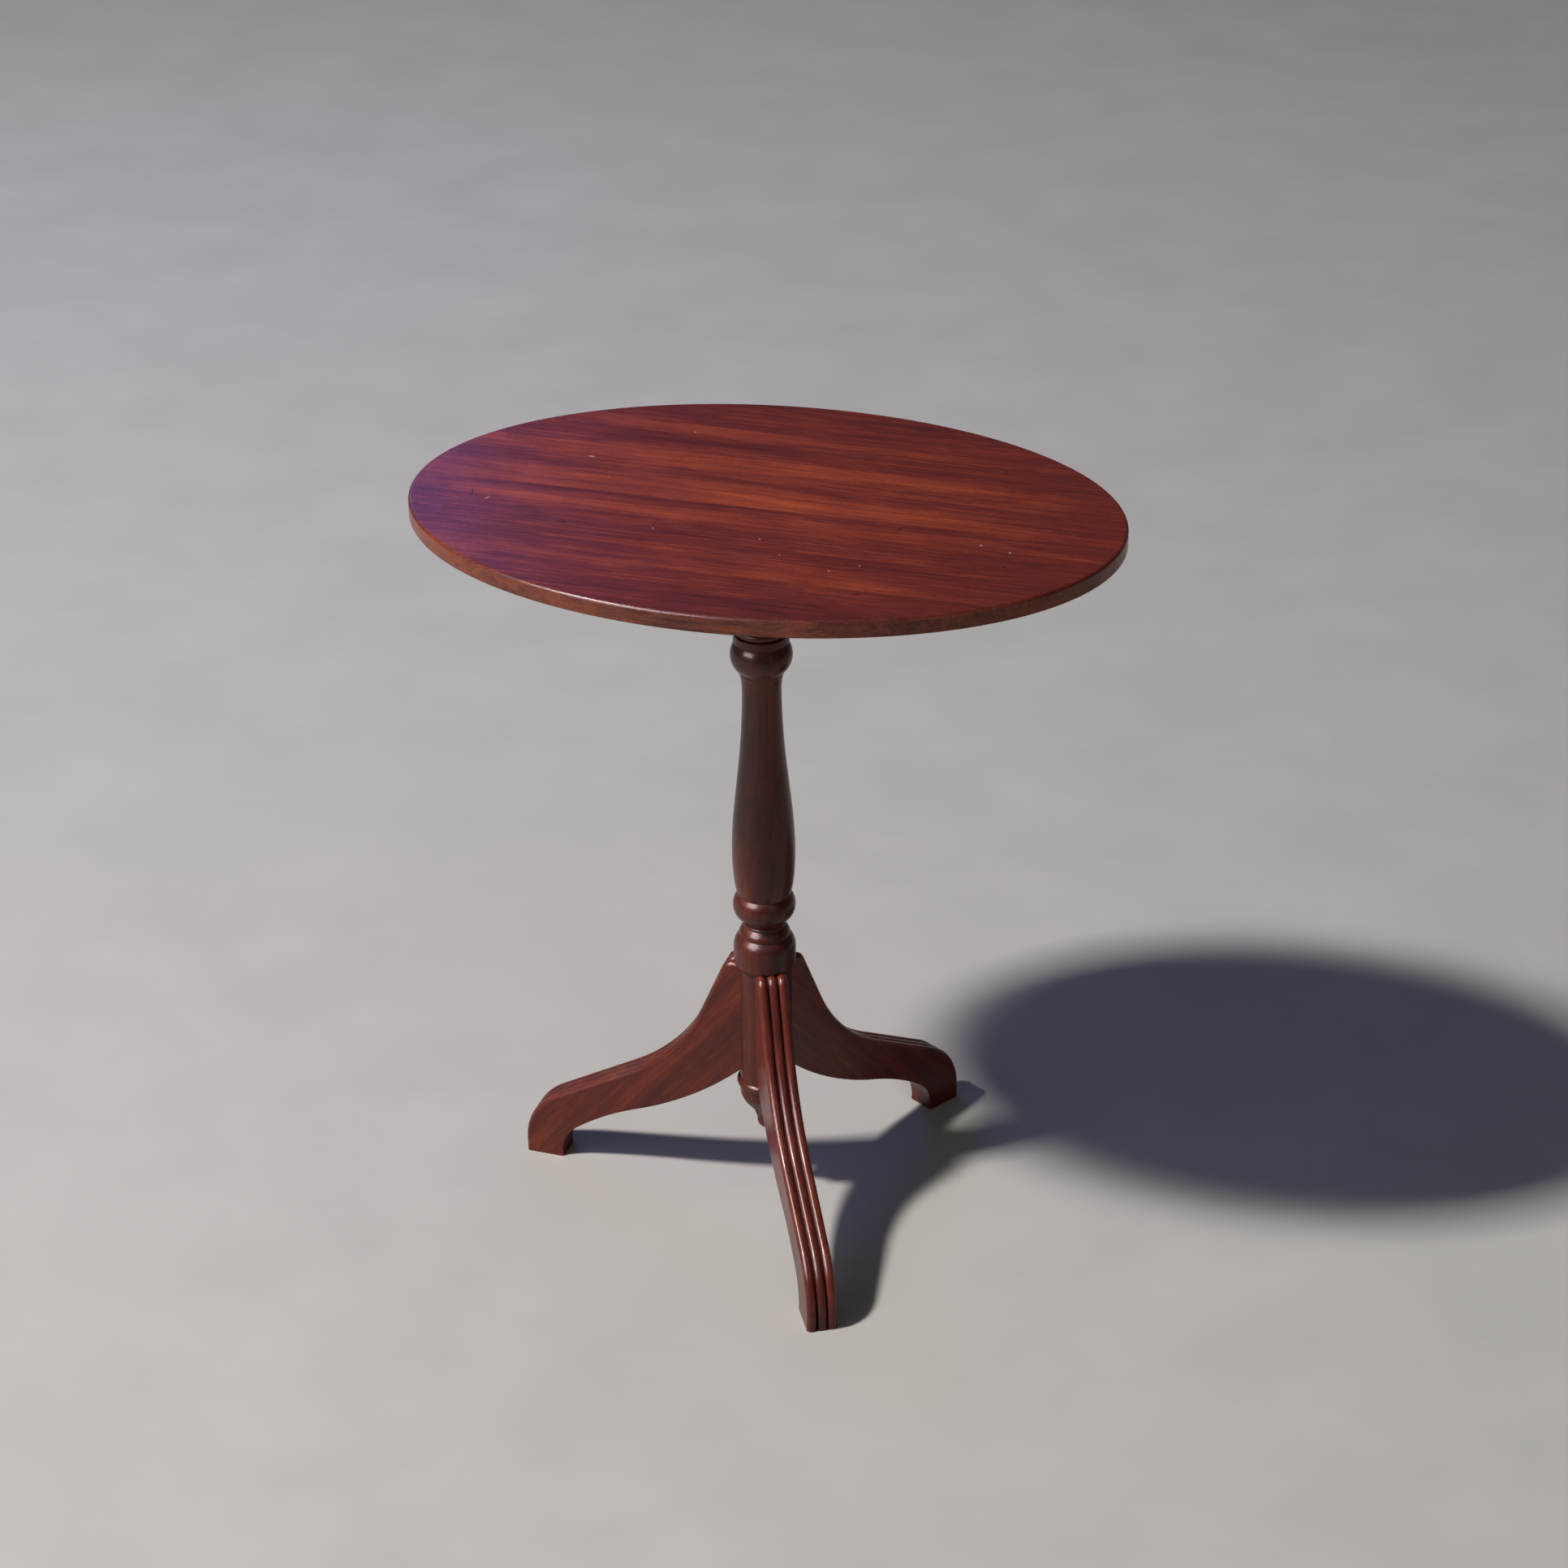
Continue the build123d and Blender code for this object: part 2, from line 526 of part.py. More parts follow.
with BuildPart() as pillar:
    add(turning.part)
    for angle in leg_angles:
        add(tongue.part, rotation=(0, 0, angle), mode=Mode.SUBTRACT)
    with BuildSketch(Plane.XY.offset(SOCKET_BOTTOM)):
        Circle(SPIGOT_RADIUS)
    extrude(amount=SPIGOT_LENGTH, mode=Mode.SUBTRACT)
    add(tenon_wedge.part, mode=Mode.SUBTRACT)
save(pillar.part, "pillar")

# ---- catch --------------------------------------------------------------------------------------
# A sprung bolt in a brass case under the top. It slides along Y, and its nose stands in the keeper.
bolt_z = BOLT_TOP - BOLT_HEIGHT / 2
case_front = CATCH_PLATE_Y
case_back = case_front + CASE_LENGTH
channel_front = case_front + NOSE_WALL
channel_back = case_back - CASE_WALL
bar_front = channel_front + REST_GAP
bar_back = bar_front + BOLT_BAR_LENGTH
nose_tip = BLOCK_BACK - BOLT_THROW
knob_front = case_back + KNOB_STANDOFF


def cross_plane(y):
    """A plane across the bolt at y: its x runs along -X, its y runs up and its normal is +Y."""
    return Plane(origin=(0, y, bolt_z), x_dir=(-1, 0, 0), z_dir=(0, 1, 0))


with BuildPart() as catch_case:
    with BuildSketch(Plane.XY.offset(plate_bottom)):
        with Locations((0, plate_centre_y)):
            RectangleRounded(CATCH_PLATE[0], CATCH_PLATE[1], CATCH_PLATE_CORNER)
    extrude(amount=CATCH_PLATE[2])
    with BuildSketch(Plane.XY.offset(UNDERSIDE - CASE_DEPTH)):
        with Locations((0, case_front)):
            Rectangle(CASE_WIDTH, CASE_LENGTH, align=(Align.CENTER, Align.MIN))
    extrude(amount=CASE_DEPTH - CATCH_PLATE[2])
    case_corners = catch_case.faces().sort_by(Axis.Z)[0].edges().filter_by(Axis.Y)
    fillet(case_corners, CASE_ROUND)
    with BuildSketch(cross_plane(channel_front)):
        Rectangle(BOLT_WIDTH + 2 * BOLT_FIT, BOLT_BAR_HEIGHT + 2 * BOLT_FIT)
    extrude(amount=channel_back - channel_front, mode=Mode.SUBTRACT)
    with BuildSketch(cross_plane(case_front)):
        Rectangle(BOLT_WIDTH + 2 * BOLT_FIT, BOLT_HEIGHT + 2 * BOLT_FIT)
    extrude(amount=NOSE_WALL, mode=Mode.SUBTRACT)
    with BuildSketch(cross_plane(channel_back)):
        Circle(STEM_RADIUS + BOLT_FIT)
    extrude(amount=CASE_WALL, mode=Mode.SUBTRACT)
    add(catch_screws.part, mode=Mode.SUBTRACT)
save(catch_case.part, "catch_case")

with BuildPart() as catch_bolt:
    with BuildSketch(Plane.YZ):
        with BuildLine():
            nose_low = BOLT_TOP - BOLT_HEIGHT
            Polyline(
                (nose_tip, BOLT_TOP),
                (nose_tip, BOLT_TOP - NOSE_BEVEL_START),
                (nose_tip + NOSE_BEVEL_RUN, nose_low),
                (bar_front, nose_low),
                (bar_front, bolt_z - BOLT_BAR_HEIGHT / 2),
                (bar_back, bolt_z - BOLT_BAR_HEIGHT / 2),
                (bar_back, bolt_z + BOLT_BAR_HEIGHT / 2),
                (bar_front, bolt_z + BOLT_BAR_HEIGHT / 2),
                (bar_front, BOLT_TOP),
                close=True,
            )
        make_face()
    extrude(amount=BOLT_WIDTH / 2, both=True)
    with BuildSketch(cross_plane(bar_back)):
        Circle(STEM_RADIUS)
    extrude(amount=knob_front + STEM_IN_KNOB - bar_back)
save(catch_bolt.part, "catch_bolt")

with BuildPart() as catch_knob:
    with BuildSketch(Plane.YZ):
        with BuildLine():
            # Turned about the bolt's own axis, from the neck by the case to the domed end.
            neck_r = KNOB_RADIUS * 0.5
            knob_base = Line((knob_front, bolt_z), (knob_front, bolt_z + neck_r + 1))
            knob_lip = Line(knob_base @ 1, (knob_front + 1.5, bolt_z + neck_r + 1))
            knob_neck = ThreePointArc(
                knob_lip @ 1,
                (knob_front + 4, bolt_z + neck_r - 0.6),
                (knob_front + 7, bolt_z + KNOB_RADIUS - 0.6),
            )
            knob_rim = ThreePointArc(
                knob_neck @ 1,
                (knob_front + 8.5, bolt_z + KNOB_RADIUS),
                (knob_front + 10, bolt_z + KNOB_RADIUS - 0.6),
            )
            knob_dome = TangentArc((knob_front + KNOB_LENGTH, bolt_z), knob_rim @ 1, tangent=(0, 1))
            Line(knob_dome @ 0, knob_base @ 0)
        make_face()
    revolve(axis=Axis((0, 0, bolt_z), (0, 1, 0)))
    with BuildSketch(cross_plane(knob_front)):
        Circle(STEM_RADIUS)
    extrude(amount=STEM_IN_KNOB, mode=Mode.SUBTRACT)
save(catch_knob.part, "catch_knob")

# The spring fills the channel from the bolt's bar to the rear wall.
spring_start = bar_back + SPRING_WIRE_RADIUS + SPRING_GAP
spring_length = channel_back - bar_back - 2 * (SPRING_WIRE_RADIUS + SPRING_GAP)
with BuildPart() as catch_spring:
    with BuildLine() as coil:
        Helix(
            pitch=spring_length / SPRING_TURNS,
            height=spring_length,
            radius=SPRING_RADIUS,
            center=(0, spring_start, bolt_z),
            direction=(0, 1, 0),
        )
    with BuildSketch(Plane(origin=coil.line @ 0, z_dir=coil.line % 0)):
        Circle(SPRING_WIRE_RADIUS)
    sweep()
save(catch_spring.part, "catch_spring")
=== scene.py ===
import math

import bpy
from bpy.props import FloatProperty, FloatVectorProperty, PointerProperty
from mathutils import Matrix, Vector


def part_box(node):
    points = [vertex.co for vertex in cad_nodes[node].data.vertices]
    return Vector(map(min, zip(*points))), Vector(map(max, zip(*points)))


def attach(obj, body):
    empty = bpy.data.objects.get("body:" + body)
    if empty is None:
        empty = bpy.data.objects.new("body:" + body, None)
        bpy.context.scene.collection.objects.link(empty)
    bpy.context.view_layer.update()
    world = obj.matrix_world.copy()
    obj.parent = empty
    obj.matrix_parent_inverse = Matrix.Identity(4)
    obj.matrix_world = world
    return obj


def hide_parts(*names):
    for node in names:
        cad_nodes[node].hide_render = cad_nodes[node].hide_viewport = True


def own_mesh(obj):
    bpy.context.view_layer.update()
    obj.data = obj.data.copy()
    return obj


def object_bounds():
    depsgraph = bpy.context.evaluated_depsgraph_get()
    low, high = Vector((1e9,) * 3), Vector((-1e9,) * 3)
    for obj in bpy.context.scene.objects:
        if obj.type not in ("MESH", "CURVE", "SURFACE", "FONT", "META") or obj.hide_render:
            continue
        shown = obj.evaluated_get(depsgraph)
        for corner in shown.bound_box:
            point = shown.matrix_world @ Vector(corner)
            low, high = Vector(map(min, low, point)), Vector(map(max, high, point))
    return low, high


bl_info = {
    "name": "Tilt-top table",
    "version": (1, 0, 0),
    "blender": (4, 5, 0),
    "location": "3D View > Sidebar > Tilt-top table",
    "description": "Polished mahogany and brass finishes for a small oval tilt-top table",
    "category": "Object",
}

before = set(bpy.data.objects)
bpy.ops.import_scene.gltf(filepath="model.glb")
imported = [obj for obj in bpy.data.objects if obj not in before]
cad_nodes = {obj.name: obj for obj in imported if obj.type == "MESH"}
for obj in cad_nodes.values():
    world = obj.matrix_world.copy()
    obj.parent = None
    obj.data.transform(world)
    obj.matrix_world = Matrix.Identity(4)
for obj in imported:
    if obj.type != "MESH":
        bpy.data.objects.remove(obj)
cad_low, cad_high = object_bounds()

# The frame's own places, in metres.
TOP_LOW, TOP_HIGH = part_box("tabletop")

# How the legs stand round the pillar, as angles from +X.
LEG_ANGLES = {"leg_left": 175.6, "leg_front": 295.6, "leg_right": 55.6}
LEG_GRAIN_FALL = 50.0          # degrees that a leg's grain falls below level, outwards

# The top is glued up from four boards. Joints and figure are given across the grain.
TOP_GRAIN_TURN = 2.5           # degrees that the grain runs clockwise of the oval's length
BOARD_JOINTS = (-0.1405, -0.0065, 0.0930)
TOP_FIGURE = (
    (-0.217, 0.22), (-0.190, 0.20), (-0.165, 0.40), (-0.142, 0.46), (-0.139, 0.66), (-0.112, 0.62),
    (-0.098, 0.40), (-0.075, 0.36), (-0.056, 0.44), (-0.030, 0.76), (-0.018, 0.50), (-0.008, 0.30),
    (-0.005, 0.78), (0.014, 0.88), (0.030, 0.66), (0.046, 0.38), (0.062, 0.52), (0.078, 0.98),
    (0.0915, 0.84), (0.0945, 0.42), (0.122, 0.32), (0.133, 0.50), (0.140, 0.66), (0.156, 0.52),
    (0.178, 0.34), (0.217, 0.20),
)

# How often the grain varies to the metre, along it and across it.
TURNED_GRAIN = {
    "wander": (3.0, 7.0), "stripe": (2.4, 38.0), "streak": (9.0, 190.0), "fibre": (70.0, 1300.0),
    "mottle": (34.0, 12.0), "pores": (240.0, 3000.0),
}
TOP_GRAIN = {
    "wander": (4.5, 9.0), "stripe": (3.2, 46.0), "streak": (8.0, 210.0), "hair": (20.0, 460.0),
    "fibre": (60.0, 1300.0), "mottle": (26.0, 30.0), "fade": (7.0, 12.0), "pores": (230.0, 2900.0),
}
PIN_GRAIN = {"streak": (18.0, 420.0), "flecks": (160.0, 1500.0)}
TURNED_WANDER = 0.018          # how far the grain strays sideways, in metres
TOP_WANDER = 0.012
BOARD_JUMP = 1.37              # how far one board's grain is moved from the last one's, along it
BOARD_LIFT = 0.61              # the same, upwards

# How much of a layer lies over the colour below it.
PORE_SHARE = 0.45
TOP_PORE_SHARE = 0.40
# GROOVE_SHADE_SHARE is how strongly painted shade darkens the mahogany's grooves.
GROOVE_SHADE_SHARE = 0.8
RUBBED_SHARE = 0.4
TOP_RUBBED_SHARE = 0.25
SPECK_SHARE = 0.85
# CREVICE_SHADE_SHARE is how strongly painted shade darkens the hollows of the pins and wedge.
CREVICE_SHADE_SHARE = 0.5

# Colours of single marks and of the brightest ribbon.
HOT_RIBBON = (0.300, 0.0560, 0.0160)
KNOCK_COLOUR = (0.010, 0.0035, 0.0035)
SPECK_COLOUR = (0.62, 0.52, 0.48)
PIN_DARK = (0.19, 0.092, 0.040)
PIN_PALE = (0.46, 0.285, 0.145)
# PIN_CREVICE_SHADE is the colour of painted shade in the pins' hollows.
PIN_CREVICE_SHADE = (0.05, 0.026, 0.014)
SHEEN_TINT = (1.0, 0.85, 0.75, 1.0)

BARE_ROUGHNESS = 0.62          # of wood that was never polished
UNDERSIDE_ROUGHNESS = 0.66
GLUE_LINE = (0.0002, 0.0006)   # half widths of a glue line's core and of its soft edge
UNDERSIDE_BAND = (0.0006, 0.0012)  # heights over which the underside's finish gives way

# Heights of bumps.
TURNED_LUMPS = 0.00012
TOP_LUMPS = 0.00020
FIBRE_HEIGHT = 0.00002
PIN_FLECK_HEIGHT = 0.00004
KNOCK_DEPTH = 0.00025
BRUSHED_HEIGHT = 0.000012

# Lights. The key and the gloss panel stand some way off the table's middle, the others at a place.
SUN_WAY = Vector((-0.498, -0.323, 0.805))
SUN_DISTANCE = 7.0
SUN_SIDE = 0.6
GLOSS_WAY = Vector((-0.52, -0.62, 0.59))
GLOSS_DISTANCE = 4.5
GLOSS_SIDE = 2.6
SKY_PLACE = (-1.95, 2.6, 2.05)
SKY_AIM = (-0.2, 0, TOP_HIGH.z)
SKY_SIDE = 1.6
FILL_PLACE = (2.4, -2.2, 1.6)
FILL_SIDE = 2.2
SUN_COLOUR = (1.0, 0.95, 0.88)
GLOSS_COLOUR = (0.96, 0.86, 1.0)
SKY_COLOUR = (0.20, 0.26, 1.0)
FILL_COLOUR = (1.0, 0.97, 0.94)
ROOM_COLOUR = (0.92, 0.95, 1.0, 1.0)

# The spring behind the catch's bolt.
SPRING_WIRE_RADIUS = 0.00045
SPRING_TURNS = 4
SPRING_STEPS = 28              # to a turn

# Knocks in the polish of the top: x, y, half length, half width, turn in degrees.
DARK_KNOCKS = (
    (-0.2517, -0.0267, 0.0120, 0.0009, -78), (-0.0790, -0.0560, 0.0170, 0.0006, -86),
    (0.0704, 0.0317, 0.0052, 0.0034, 20), (0.1285, -0.0225, 0.0095, 0.0011, -110),
    (0.2310, -0.0746, 0.0050, 0.0018, -40), (-0.0420, 0.0504, 0.0090, 0.0010, 36),
    (-0.1570, -0.0680, 0.0060, 0.0032, 10), (0.1205, -0.1520, 0.0060, 0.0022, 25),
    (-0.2040, 0.1400, 0.0070, 0.0012, -8),
)
PALE_KNOCKS = (
    (0.2029, -0.0375, 0.0016, 0.0012, 0), (0.2296, -0.0467, 0.0015, 0.0011, 60),
    (0.0875, -0.1142, 0.0013, 0.0008, 30), (0.0400, -0.0925, 0.0011, 0.0007, 80),
    (0.1108, -0.0983, 0.0011, 0.0007, -70), (0.0163, -0.0660, 0.0012, 0.0006, -60),
    (-0.0788, -0.0642, 0.0014, 0.0006, -88), (-0.0940, 0.1400, 0.0014, 0.0008, 0),
    (-0.1710, 0.0690, 0.0040, 0.0007, -6), (-0.2360, -0.0350, 0.0045, 0.0006, 55),
)


# ---- what a user may change ---------------------------------------------------------------------
class MahoganyValues(bpy.types.PropertyGroup):
    """Stain and polish shared by every mahogany piece."""

    deep: FloatVectorProperty(
        name="Deep stain", description="Colour of the darkest streaks", subtype="COLOR",
        default=(0.042, 0.0060, 0.0060), min=0, max=1)
    body: FloatVectorProperty(
        name="Body stain", description="Colour of most of the wood", subtype="COLOR",
        default=(0.106, 0.0135, 0.0090), min=0, max=1)
    bright: FloatVectorProperty(
        name="Bright figure", description="Colour of the brightest figure", subtype="COLOR",
        default=(0.235, 0.0390, 0.0140), min=0, max=1)
    rubbed: FloatVectorProperty(
        name="Rubbed edges", description="Colour where the stain has worn thin", subtype="COLOR",
        default=(0.240, 0.0600, 0.0220), min=0, max=1)
    raw: FloatVectorProperty(
        name="Unpolished wood", description="Colour of wood that was never polished",
        subtype="COLOR", default=(0.150, 0.0560, 0.0300), min=0, max=1)
    roughness: FloatProperty(
        name="Polish roughness", description="Roughness of the sound polish", default=0.27,
        min=0, max=1, subtype="FACTOR")
    coat: FloatProperty(
        name="Wax", description="Weight of the waxed film over the polish", default=0.15,
        min=0, max=1, subtype="FACTOR")
    edge_width: FloatProperty(
        name="Worn edge", description="Width of the rubbed band along edges", default=0.0016,
        min=0, max=0.01, unit="LENGTH")
    pore_depth: FloatProperty(
        name="Pore depth", description="Depth of the open pores", default=0.00006,
        min=0, max=0.001, unit="LENGTH")


class MetalValues(bpy.types.PropertyGroup):
    """Brass of the catch and steel of the screws."""

    brass: FloatVectorProperty(
        name="Brass", description="Colour of clean brass", subtype="COLOR",
        default=(0.66, 0.43, 0.15), min=0, max=1)
    tarnish: FloatVectorProperty(
        name="Tarnish", description="Colour of aged brass", subtype="COLOR",
        default=(0.22, 0.12, 0.045), min=0, max=1)
    steel: FloatVectorProperty(
        name="Steel", description="Colour of clean steel", subtype="COLOR",
        default=(0.42, 0.41, 0.40), min=0, max=1)
    rust: FloatVectorProperty(
        name="Rust", description="Colour of rust in the screw slots", subtype="COLOR",
        default=(0.13, 0.05, 0.02), min=0, max=1)


class StageValues(bpy.types.PropertyGroup):
    """Floor, lights and camera."""

    floor: FloatVectorProperty(
        name="Floor", description="Colour of the floor", subtype="COLOR",
        default=(0.42, 0.415, 0.405), min=0, max=1)
    floor_side: FloatProperty(
        name="Floor side", description="Side of the floor", default=40.0, unit="LENGTH")
    key_power: FloatProperty(
        name="Key light", description="Power of the key light", default=640.0, unit="POWER")
    sky_power: FloatProperty(
        name="Sky light", description="Power of the cool light behind", default=16.0,
        unit="POWER")
    fill_power: FloatProperty(
        name="Fill light", description="Power of the fill light", default=4.0, unit="POWER")
    gloss_power: FloatProperty(
        name="Gloss panel", description="Power of the panel seen only as gloss", default=450.0,
        unit="POWER")
    room: FloatProperty(
        name="Room light", description="Strength of the even light all round", default=0.07)
    camera_place: FloatVectorProperty(
        name="Camera place", description="Where the camera stands", subtype="TRANSLATION",
        default=(0.7774, -3.1057, 2.1964))
    camera_turn: FloatVectorProperty(
        name="Camera turn", description="How the camera is turned", subtype="EULER",
        default=(math.radians(61.1667), math.radians(0.4647), math.radians(13.4566)))
    lens: FloatProperty(
        name="Lens", description="Focal length on a 36 mm sensor", default=93.168,
        unit="CAMERA")


class TableValues(bpy.types.PropertyGroup):
    """All values of the table."""

    mahogany: PointerProperty(type=MahoganyValues)
    metal: PointerProperty(type=MetalValues)
    stage: PointerProperty(type=StageValues)


# ---- node work ----------------------------------------------------------------------------------
class Recipe:
    """Builds one material by laying down nodes and joining their sockets."""

    def __init__(self, name):
        self.material = bpy.data.materials.new(name)
        self.material.use_nodes = True
        self.tree = self.material.node_tree
        self.tree.nodes.clear()
        self.coordinates = self.put("ShaderNodeTexCoord").outputs["Object"]
        self.geometry = self.put("ShaderNodeNewGeometry")

    def put(self, kind, inputs=None, **settings):
        """Add a node. Inputs maps a socket's name or number to a value or another socket."""
        node = self.tree.nodes.new(kind)
        for name, value in settings.items():
            setattr(node, name, value)
        for name, value in (inputs or {}).items():
            if isinstance(value, bpy.types.NodeSocket):
                self.tree.links.new(value, node.inputs[name])
            else:
                node.inputs[name].default_value = value
        return node

    def sum(self, operation, a, b=0.0, clamp=False):
        """One step of arithmetic."""
        node = self.put("ShaderNodeMath", {0: a, 1: b}, operation=operation, use_clamp=clamp)
        return node.outputs[0]

    def vector(self, operation, a, b):
        """One step of vector arithmetic."""
        return self.put("ShaderNodeVectorMath", {0: a, 1: b}, operation=operation).outputs[0]

    def turned(self, vector, matrix):
        """The vector in axes turned by the matrix."""
        turn = matrix.to_euler("XYZ")
        return self.put("ShaderNodeMapping", {"Vector": vector, "Rotation": turn}).outputs[0]

    def stretched(self, vector, along, across):
        """Grain coordinates scaled along and across the grain."""
        scale = (along, across, across)
        return self.put("ShaderNodeMapping", {"Vector": vector, "Scale": scale}).outputs[0]

    def noise(self, vector, scale=1.0, detail=2.0, roughness=0.5):
        """Noise about 0.5."""
        sockets = {"Vector": vector, "Scale": scale, "Detail": detail, "Roughness": roughness}
        return self.put("ShaderNodeTexNoise", sockets).outputs[0]

    def ranged(self, value, low, high, to_low=0.0, to_high=1.0, smooth=False):
        """The value carried from one range to another and held within it."""
        sockets = {"Value": value, "From Min": low, "From Max": high,
                   "To Min": to_low, "To Max": to_high}
        kind = "SMOOTHSTEP" if smooth else "LINEAR"
        return self.put("ShaderNodeMapRange", sockets, interpolation_type=kind).outputs[0]

    def ramp(self, value, stops):
        """A colour ramp. Each stop is a place and a colour."""
        node = self.put("ShaderNodeValToRGB", {0: value})
        elements = node.color_ramp.elements
        while len(elements) < len(stops):
            elements.new(1.0)
        for element, (place, colour) in zip(elements, stops):
            element.position = place
            element.color = (*colour, 1.0)
        return node.outputs[0]

    def mixed(self, share, a, b):
        """Two colours mixed by a share."""
        a = a if isinstance(a, bpy.types.NodeSocket) else (*a, 1.0)
        b = b if isinstance(b, bpy.types.NodeSocket) else (*b, 1.0)
        return self.put("ShaderNodeMix", {0: share, 6: a, 7: b}, data_type="RGBA").outputs[2]

    def blended(self, share, a, b):
        """Two numbers mixed by a share."""
        return self.put("ShaderNodeMix", {0: share, 2: a, 3: b}, data_type="FLOAT").outputs[0]

    def coordinate(self, vector, axis="Z"):
        """One coordinate of the vector."""
        return self.put("ShaderNodeSeparateXYZ", {0: vector}).outputs[axis]

    def edges(self, width, low=0.02, high=0.22):
        """1 along outer and inner edges, 0 on faces."""
        soft = self.put("ShaderNodeBevel", {"Radius": width}, samples=4).outputs[0]
        node = self.put("ShaderNodeVectorMath", {0: soft, 1: self.geometry.outputs["Normal"]},
                        operation="DOT_PRODUCT")
        flatness = node.outputs["Value"]
        return self.ranged(flatness, 1.0 - low, 1.0 - high, smooth=True)

    def crevices(self, reach):
        """1 deep in grooves and corners, 0 in the open."""
        node = self.put("ShaderNodeAmbientOcclusion", {"Distance": reach}, samples=4,
                        only_local=True)
        return self.ranged(node.outputs["AO"], 0.85, 0.25, smooth=True)

    def raised(self, height, distance, below=None):
        """A bump of the given height, laid over an earlier one."""
        sockets = {"Strength": 1.0, "Distance": distance, "Height": height}
        if below is not None:
            sockets["Normal"] = below
        return self.put("ShaderNodeBump", sockets).outputs[0]

    def knocks(self, marks):
        """1 inside any of the given oval marks, seen from above."""
        found = None
        for x, y, half_length, half_width, turn in marks:
            sockets = {"Vector": self.coordinates, "Location": (x, y, TOP_HIGH.z),
                       "Rotation": (0, 0, math.radians(turn)),
                       "Scale": (half_length, half_width, half_length)}
            place = self.put("ShaderNodeMapping", sockets, vector_type="TEXTURE").outputs[0]
            length = self.put("ShaderNodeVectorMath", {0: place}, operation="LENGTH")
            mark = self.ranged(length.outputs["Value"], 1.0, 0.35, smooth=True)
            found = mark if found is None else self.sum("MAXIMUM", found, mark)
        return found

    def finished(self, **sockets):
        """Join the shader and the output. Socket names are written with underscores."""
        named = {name.replace("_", " "): value for name, value in sockets.items()}
        shader = self.put("ShaderNodeBsdfPrincipled", named)
        output = self.put("ShaderNodeOutputMaterial")
        self.tree.links.new(shader.outputs[0], output.inputs["Surface"])
        return self.material


def grain_from(direction):
    """The turn that carries a grain direction onto +X."""
    along = Vector(direction).normalized()
    return along.rotation_difference(Vector((1, 0, 0))).to_matrix()


def leg_grain(angle):
    """The turn for a leg: about the pillar first, then down along the leg."""
    about = Matrix.Rotation(math.radians(-angle), 3, "Z")
    down = Matrix.Rotation(math.radians(-LEG_GRAIN_FALL), 3, "Y")
    return down @ about


